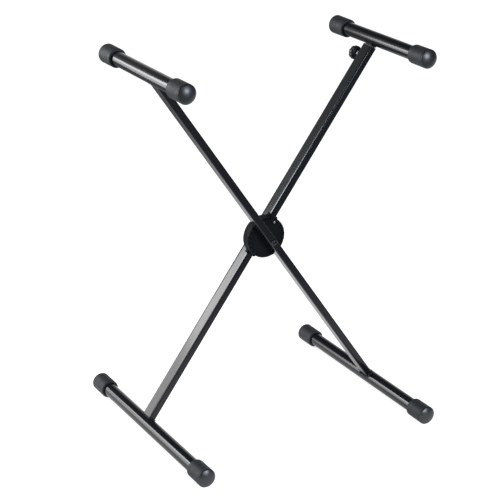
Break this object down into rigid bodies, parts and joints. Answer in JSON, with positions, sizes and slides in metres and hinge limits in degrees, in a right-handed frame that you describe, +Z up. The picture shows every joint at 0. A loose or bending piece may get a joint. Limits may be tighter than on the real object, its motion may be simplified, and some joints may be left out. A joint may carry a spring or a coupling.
{
  "type": "folding keyboard stand",
  "caption": "Folding X-shaped keyboard stand with a toothed disc joint, a sliding clamped arm and rubber-capped cross bars.",
  "frame": {"origin": "on the floor, straight under the pivot bolt, centre of the bounding box", "axes": "+X along the keyboard towards the sliding arm, +Y front to back with the front leg on the -Y side, +Z up"},
  "size_m": [0.5966, 0.502, 0.8165],
  "materials": {
    "black_steel": "semi-gloss black powder coat",
    "cap_rubber": "matte anthracite",
    "hub_plastic": "moulded, fine texture",
    "liner_plastic": "natural nylon",
    "knob_plastic": "moulded black",
    "zinc_steel": "bright zinc plating"
  },
  "bodies": {
    "front_leg": {"front_leg_tube": "black_steel", "front_foot_bar": "black_steel", "front_arm_bar": "black_steel", "front_foot_caps": "cap_rubber", "front_arm_caps": "cap_rubber", "front_hub_disc": "hub_plastic", "front_leg_bush": "zinc_steel", "pivot_bolt": "zinc_steel", "flat_washer": "zinc_steel", "spring_washer": "zinc_steel", "lock_nut": "zinc_steel", "stop_pin": "zinc_steel"},
    "rear_leg": {"rear_leg_tube": "black_steel", "rear_foot_bar": "black_steel", "rear_foot_caps": "cap_rubber", "rear_hub_disc": "hub_plastic", "rear_leg_bush": "liner_plastic", "guide_sleeve": "liner_plastic", "clamp_nut": "zinc_steel"},
    "rear_arm": {"rear_arm_stem": "black_steel", "rear_arm_bar": "black_steel", "rear_arm_caps": "cap_rubber"},
    "clamp_knob": {"clamp_knob": "knob_plastic", "clamp_screw": "zinc_steel"}
  },
  "joints": [
    {"name": "fold", "type": "hinge", "parent": "front_leg", "child": "rear_leg", "pos_m": [0, 0, 0.40499], "axis": [0, 1, 0], "range_deg": [-65, 30]},
    {"name": "arm_slide", "type": "slide", "parent": "rear_leg", "child": "rear_arm", "axis": [0.5793, 0, 0.8151], "range_m": [0, 0.08]},
    {"name": "knob_turn", "type": "hinge", "parent": "rear_leg", "child": "clamp_knob", "pos_m": [0.25315, 0.045, 0.7612], "axis": [0, 1, 0], "range_deg": [0, 720]}
  ]
}
